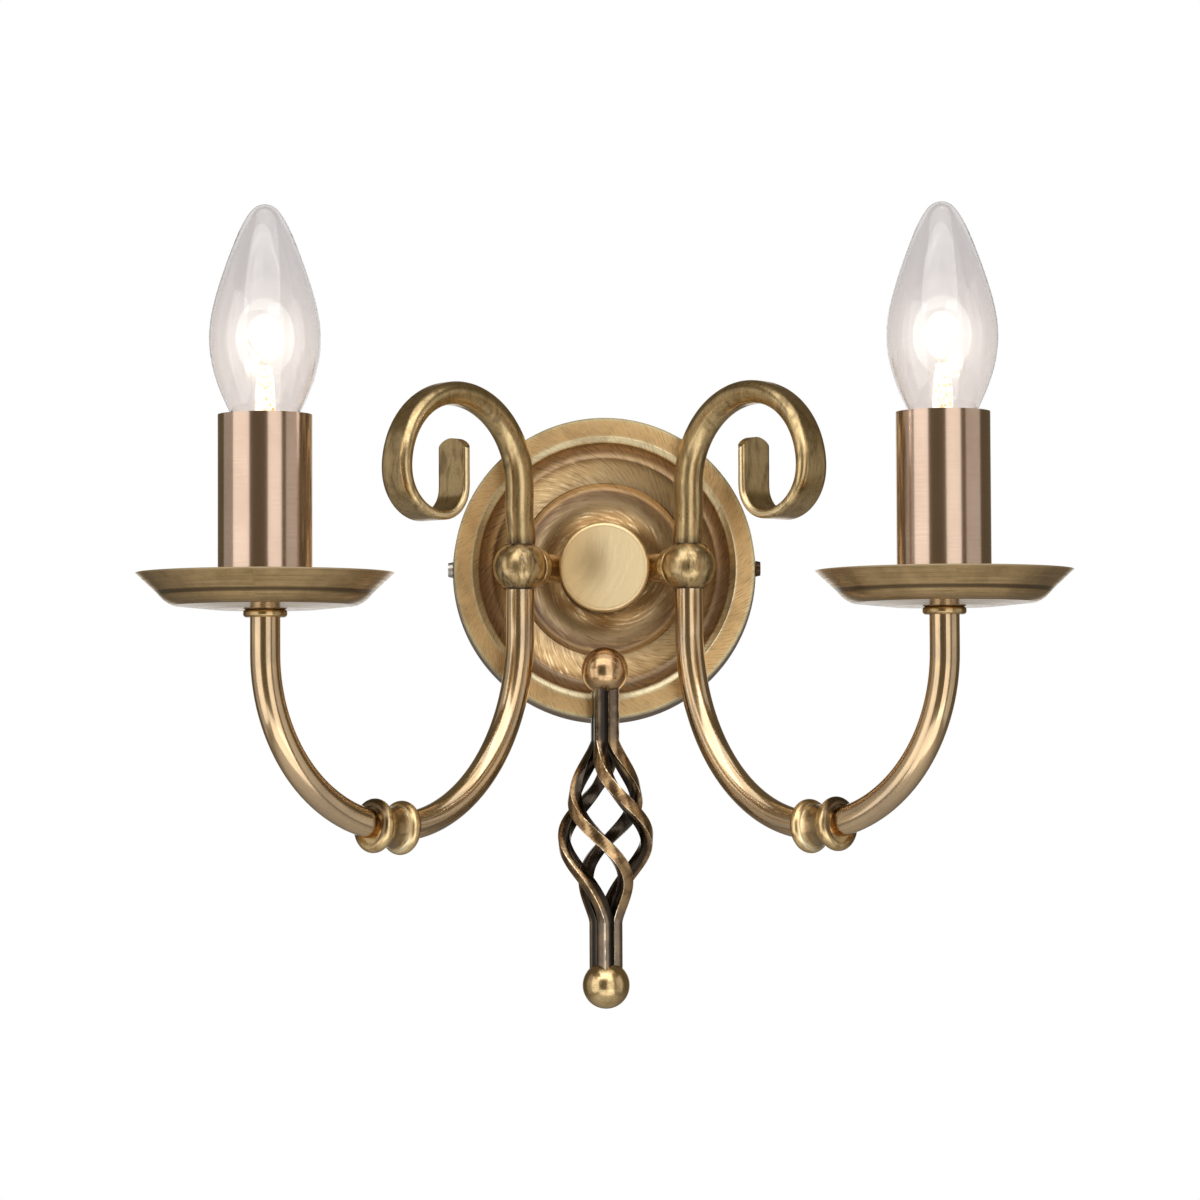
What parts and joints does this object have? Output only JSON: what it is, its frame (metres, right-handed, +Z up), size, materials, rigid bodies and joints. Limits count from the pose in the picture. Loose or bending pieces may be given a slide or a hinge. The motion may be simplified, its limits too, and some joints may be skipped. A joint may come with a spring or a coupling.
{
  "type": "wall sconce",
  "caption": "Double arm wall sconce in antique brass with candle sleeves and clear candle bulbs, scrolled arms, drip pans and a twisted basket drop.",
  "frame": {"origin": "centre of the wall bracket's back face on the wall plane, on the hub's axis", "axes": "+Y into the wall, +Z up, +X to the right seen from the room"},
  "size_m": [0.2932, 0.1603, 0.2578],
  "materials": {
    "brass_rose": "antique brass, fine diagonal brushing under clear lacquer, darker in the cove",
    "plated_steel": "zinc plated steel",
    "block_plastic": "off-white terminal block",
    "brass_bright": "polished antique brass, lacquered",
    "brass_patina": "mottled olive-brown patina over brass, satin",
    "brass_pan": "satin brass, faint turning marks",
    "copper_sleeve": "rosy antique brass tube with fine turning lines",
    "holder_ceramic": "white glazed lampholder body",
    "cap_metal": "rolled screw cap, satin",
    "lead_cover": "clear-yellowish lead cover",
    "insulator_black": "black insulating glass round the foot contact",
    "bulb_clear": "clear thin glass",
    "stem_glass": "clear glass stem",
    "lead_wire": "fine nickel wire",
    "filament_glow": "coiled tungsten, lit",
    "bronze_bars": "golden bronze faces, worn light edges"
  },
  "bodies": {
    "lamp": {"rose": "brass_rose", "wall_bracket": "plated_steel", "rose_side_screws": "plated_steel", "terminal_block": "block_plastic", "terminal_screws": "plated_steel", "earth_screw": "brass_bright", "hub_body": "brass_patina", "hub_cap": "brass_bright", "hub_nipple": "plated_steel", "hub_washer": "plated_steel", "hub_lock_nut": "plated_steel", "neck_left": "brass_patina", "neck_collar_left": "brass_bright", "arm_ball_left": "brass_patina", "lower_arm_left": "brass_bright", "scroll_left": "brass_patina", "bobbin_left": "brass_patina", "pan_collar_left": "brass_bright", "drip_pan_left": "brass_pan", "pan_nut_left": "plated_steel", "candle_sleeve_left": "copper_sleeve", "lampholder_left": "holder_ceramic", "holder_shell_left": "cap_metal", "holder_contact_left": "brass_bright", "inner_lead_left": "lead_cover", "neck_right": "brass_patina", "neck_collar_right": "brass_bright", "arm_ball_right": "brass_patina", "lower_arm_right": "brass_bright", "scroll_right": "brass_patina", "bobbin_right": "brass_patina", "pan_collar_right": "brass_bright", "drip_pan_right": "brass_pan", "pan_nut_right": "plated_steel", "candle_sleeve_right": "copper_sleeve", "lampholder_right": "holder_ceramic", "holder_shell_right": "cap_metal", "holder_contact_right": "brass_bright", "inner_lead_right": "lead_cover", "drop_bars": "bronze_bars", "drop_ball_top": "brass_bright", "drop_ball_bottom": "brass_bright", "drop_stud": "brass_bright", "drop_nut": "plated_steel"},
    "bulb_left": {"bulb_cap_left": "cap_metal", "bulb_foot_left": "insulator_black", "bulb_glass_left": "bulb_clear", "bulb_stem_left": "stem_glass", "bulb_leads_left": "lead_wire", "bulb_filament_left": "filament_glow"},
    "bulb_right": {"bulb_cap_right": "cap_metal", "bulb_foot_right": "insulator_black", "bulb_glass_right": "bulb_clear", "bulb_stem_right": "stem_glass", "bulb_leads_right": "lead_wire", "bulb_filament_right": "filament_glow"}
  },
  "joints": [
    {"name": "bulb_out_left", "type": "slide", "parent": "lamp", "child": "bulb_left", "axis": [0, 0, 1], "range_m": [0, 0.036]},
    {"name": "bulb_out_right", "type": "slide", "parent": "lamp", "child": "bulb_right", "axis": [0, 0, 1], "range_m": [0, 0.036]}
  ]
}
